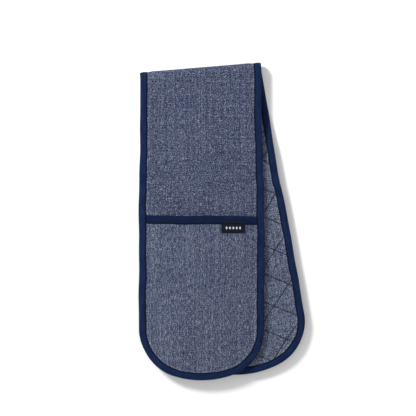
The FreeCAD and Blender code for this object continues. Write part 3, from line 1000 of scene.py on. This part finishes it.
def pocket_layers(leaf, side):
    """One side of a pocket: its outer cloth, wadding, lining and mouth binding."""
    name = "left" if side < 0 else "right"
    x, y = pocket_grid(side, 3.0, 2.8)
    cloth = cloth_layer(f"{leaf.name}_pocket_cloth_{name}", leaf, x, y, pocket_level(leaf, x, y), CLOTH)
    finish_piece(cloth, POCKET, (f"{leaf.name}_pocket_face",))
    bend_at_pocket(cloth, leaf, side)

    x, y = pocket_grid(side, 4.5, 3.4, 0.8)
    level = lining_level(leaf, x, y)
    inside = cloth_layer(f"{leaf.name}_pocket_inside_{name}", leaf, x, y, level, LINING_CLOTH)
    finish_piece(inside, LINING, (f"{leaf.name}_pocket_lining",))
    bend_at_pocket(inside, leaf, side)

    x, y = pocket_grid(side, 6.0, 4.0, 4.0)
    over = pocket_level(leaf, x, y) - CLOTH / 2 - 0.05
    under = lining_level(leaf, x, y) + LINING_CLOTH / 2 + 0.05
    outer, inner = leaf.place(x, y, over), leaf.place(x, y, np.minimum(under, over - 0.1))
    pad = layer(f"{leaf.name}_pocket_padding_{name}", outer, inner, np.stack([x, y], -1))
    finish_piece(pad, WADDING, (f"{leaf.name}_pocket_wadding",))
    bend_at_pocket(pad, leaf, side)

    tape = mouth_binding(leaf, side)
    finish_piece(tape, MOUTH_BINDING, (f"{leaf.name}_mouth_binding",))
    bend_at_pocket(tape, leaf, side)


def label_tab():
    """The folded label under the mouth binding."""
    across = np.linspace(LABEL_LEFT, LABEL_RIGHT, 30)
    top = MOUTH - BINDING_WIDTH + 2.5
    # Down the label's front, round its folded end and up its back: the place along, and the height.
    path = np.array(
        [
            (top, 1.05),
            (top - 4, 1.25),
            (top - 8, 1.45),
            (top - 12, 1.60),
            (LABEL_END + 1.2, 1.62),
            (LABEL_END + 0.45, 1.45),
            (LABEL_END + 0.15, 1.15),
            (LABEL_END + 0.45, 0.88),
            (LABEL_END + 1.2, 0.74),
            (top - 12, 0.68),
            (top - 6, 0.62),
            (top, 0.58),
        ]
    )
    steps = np.diff(path, axis=0)
    run = np.concatenate([[0], np.cumsum(np.hypot(*steps.T))])
    slope = np.gradient(path, run, axis=0)
    normal = np.stack([slope[:, 1], -slope[:, 0]], 1) / np.hypot(*slope.T)[:, None]
    grids = []
    curl = 0.18 * np.sin((across - LABEL_LEFT) / 7.0)
    for shift in (0.17, -0.17):
        place = path + normal * shift
        y = np.broadcast_to(place[:, 0, None], (len(path), len(across)))
        x = np.broadcast_to(across[None, :], y.shape)
        base = pocket_level(FRONT, x, np.minimum(y, MOUTH - 6))
        lift = place[:, 1, None] + curl[None, :] * smooth((top - y) / 14)
        grids.append(FRONT.place(x, y + MOUTH_SLOPE * (LABEL_LEFT - x), base + lift))
    flat = np.stack(
        [
            np.broadcast_to(across - LABEL_LEFT, (len(path), len(across))),
            np.broadcast_to(run[:, None], (len(path), len(across))),
        ],
        -1,
    )
    tab = layer("label_tab", grids[0], grids[1], flat)
    finish_piece(tab, LABEL, ("label",))
    bend_at_pocket(tab, FRONT, 1)


def quilting_runs(leaf):
    """The stitch lines that cross a leaf's quilted side."""

    def height(x, y):
        return back_level(leaf, x, y) - CLOTH / 2 + 0.05

    runs = []
    run = np.arange(-1200.0, 1200.0, 1.5)[:, None]
    for angle, spacing in QUILT_FAMILIES:
        turn = math.radians(angle)
        along = np.array([math.cos(turn), math.sin(turn)])
        normal = np.array([-math.sin(turn), math.cos(turn)])
        for number in range(-40, 41):
            strip = np.array(QUILT_CROSSING) + normal * number * spacing + run * along
            path = np.stack(leaf.on_strip(strip[:, 0], strip[:, 1]), 1)
            past = path[:, 1] * math.cos(SKEW) - path[:, 0] * math.sin(SKEW)
            kept = edge_distance(path[:, 0], path[:, 1]) > BINDING_WIDTH - 1
            kept &= (past < FOLD_RADIUS * math.pi / 2) & (path[:, 1] > -LENGTH)
            if kept.sum() > 3:
                runs.append((path[kept], height, -1.0))
    return runs


def sewing(leaf):
    """The thread that shows: quilting, and the stitching along the bindings."""
    lines = stitches(f"{leaf.name}_quilting_thread", leaf, quilting_runs(leaf))
    finish_piece(lines, THREAD)
    bend_at_fold(lines, leaf)

    points, inward = outline(2.0)
    path = points + TAPE_STITCH * inward
    path[:, 1] += path[:, 0] * math.tan(SKEW) * shear(points[:, 1])

    def over(x, y):
        return BINDING_TOP - STITCH_SINK + binding_lift(y)

    def under(x, y):
        return np.full_like(x, STITCH_SINK - BINDING_TOP)

    def at_mouth(x, y):
        return pocket_level(leaf, x, y) + CLOTH / 2 + TAPE - STITCH_SINK

    runs = [(path, over, 1.0), (path, under, -1.0)]
    edge = stitches(f"{leaf.name}_binding_thread", leaf, runs, **TAPE_STITCHES)
    finish_piece(edge, THREAD)
    bend_at_fold(edge, leaf)

    for side, name in ((-1, "left"), (1, "right")):
        x = side * np.linspace(HALF_WIDTH - 10, 0.0, 120)
        path = np.stack([x, mouth_line(x) - MOUTH_BINDING_SCALE * TAPE_STITCH], 1)
        runs = [(path, at_mouth, 1.0)]
        row = stitches(f"{leaf.name}_mouth_thread_{name}", leaf, runs, **TAPE_STITCHES)
        finish_piece(row, THREAD)
        bend_at_pocket(row, leaf, side)


for leaf in (FRONT, REAR):
    strip_layers(leaf)
    tape = edge_binding(leaf)
    nodes = [f"{leaf.name}_edge_binding", "fold_binding_left", "fold_binding_right"]
    finish_piece(tape, BINDING, nodes)
    bend_at_fold(tape, leaf)
    for side in (-1, 1):
        pocket_layers(leaf, side)
    sewing(leaf)
label_tab()


# ------------------------------------------------------------------ floor, light and camera
def floor():
    """A plain pale floor."""
    reach, level = 12.0, -0.0002
    corners = np.array([(-1, -1, 0), (1, -1, 0), (1, 1, 0), (-1, 1, 0)]) * reach
    made = object_from("floor", corners + np.array([0, 0, level]), [[0, 1, 2, 3]], corners[:, :2])
    s = Shader("floor_paper")
    grain = s.noise(s.flat(0.5, 0.5), 3.0)
    colour = s.ramp(grain, ((0.3, (0.91, 0.91, 0.91)), (0.7, (0.93, 0.93, 0.93))))
    made.data.materials.append(s.finish(colour, grain, 0.02, 0.95, Specular_IOR_Level=0.1))


def area_light(name, place, aim, size, power):
    """A square soft light, aimed at a point."""
    light = bpy.data.lights.new(name, "AREA")
    light.shape = "SQUARE"
    light.size = size
    light.energy = power
    made = bpy.data.objects.new(name, light)
    made.location = place
    made.rotation_euler = (Vector(aim) - Vector(place)).to_track_quat("-Z", "Y").to_euler()
    bpy.context.scene.collection.objects.link(made)


def surroundings():
    """Soft white light from all round."""
    world = bpy.data.worlds.new("studio")
    world.use_nodes = True
    background = world.node_tree.nodes["Background"]
    background.inputs[0].default_value = (1.0, 1.0, 1.0, 1.0)
    background.inputs[1].default_value = 0.66
    bpy.context.scene.world = world


def camera():
    """A camera straight above the object."""
    low, high = cad_box
    aim = (low + high) / 2 + Vector((-0.0189, 0.0179, 0.0))
    height = 1.6
    field = 0.5774
    data = bpy.data.cameras.new("camera")
    data.sensor_width = 36.0
    data.lens = 36.0 * (height - 0.02) / field
    data.clip_end = 20.0
    made = bpy.data.objects.new("camera", data)
    made.location = (aim.x, aim.y, height)
    bpy.context.scene.collection.objects.link(made)
    bpy.context.scene.camera = made


floor()
surroundings()
area_light("key", (-0.9, 0.8, 1.1), (0, 0, 0), 0.32, 25.0)
area_light("fill", (0.3, -0.2, 1.8), (0, 0, 0), 1.4, 2.0)
camera()
bpy.context.scene.view_settings.view_transform = "Standard"
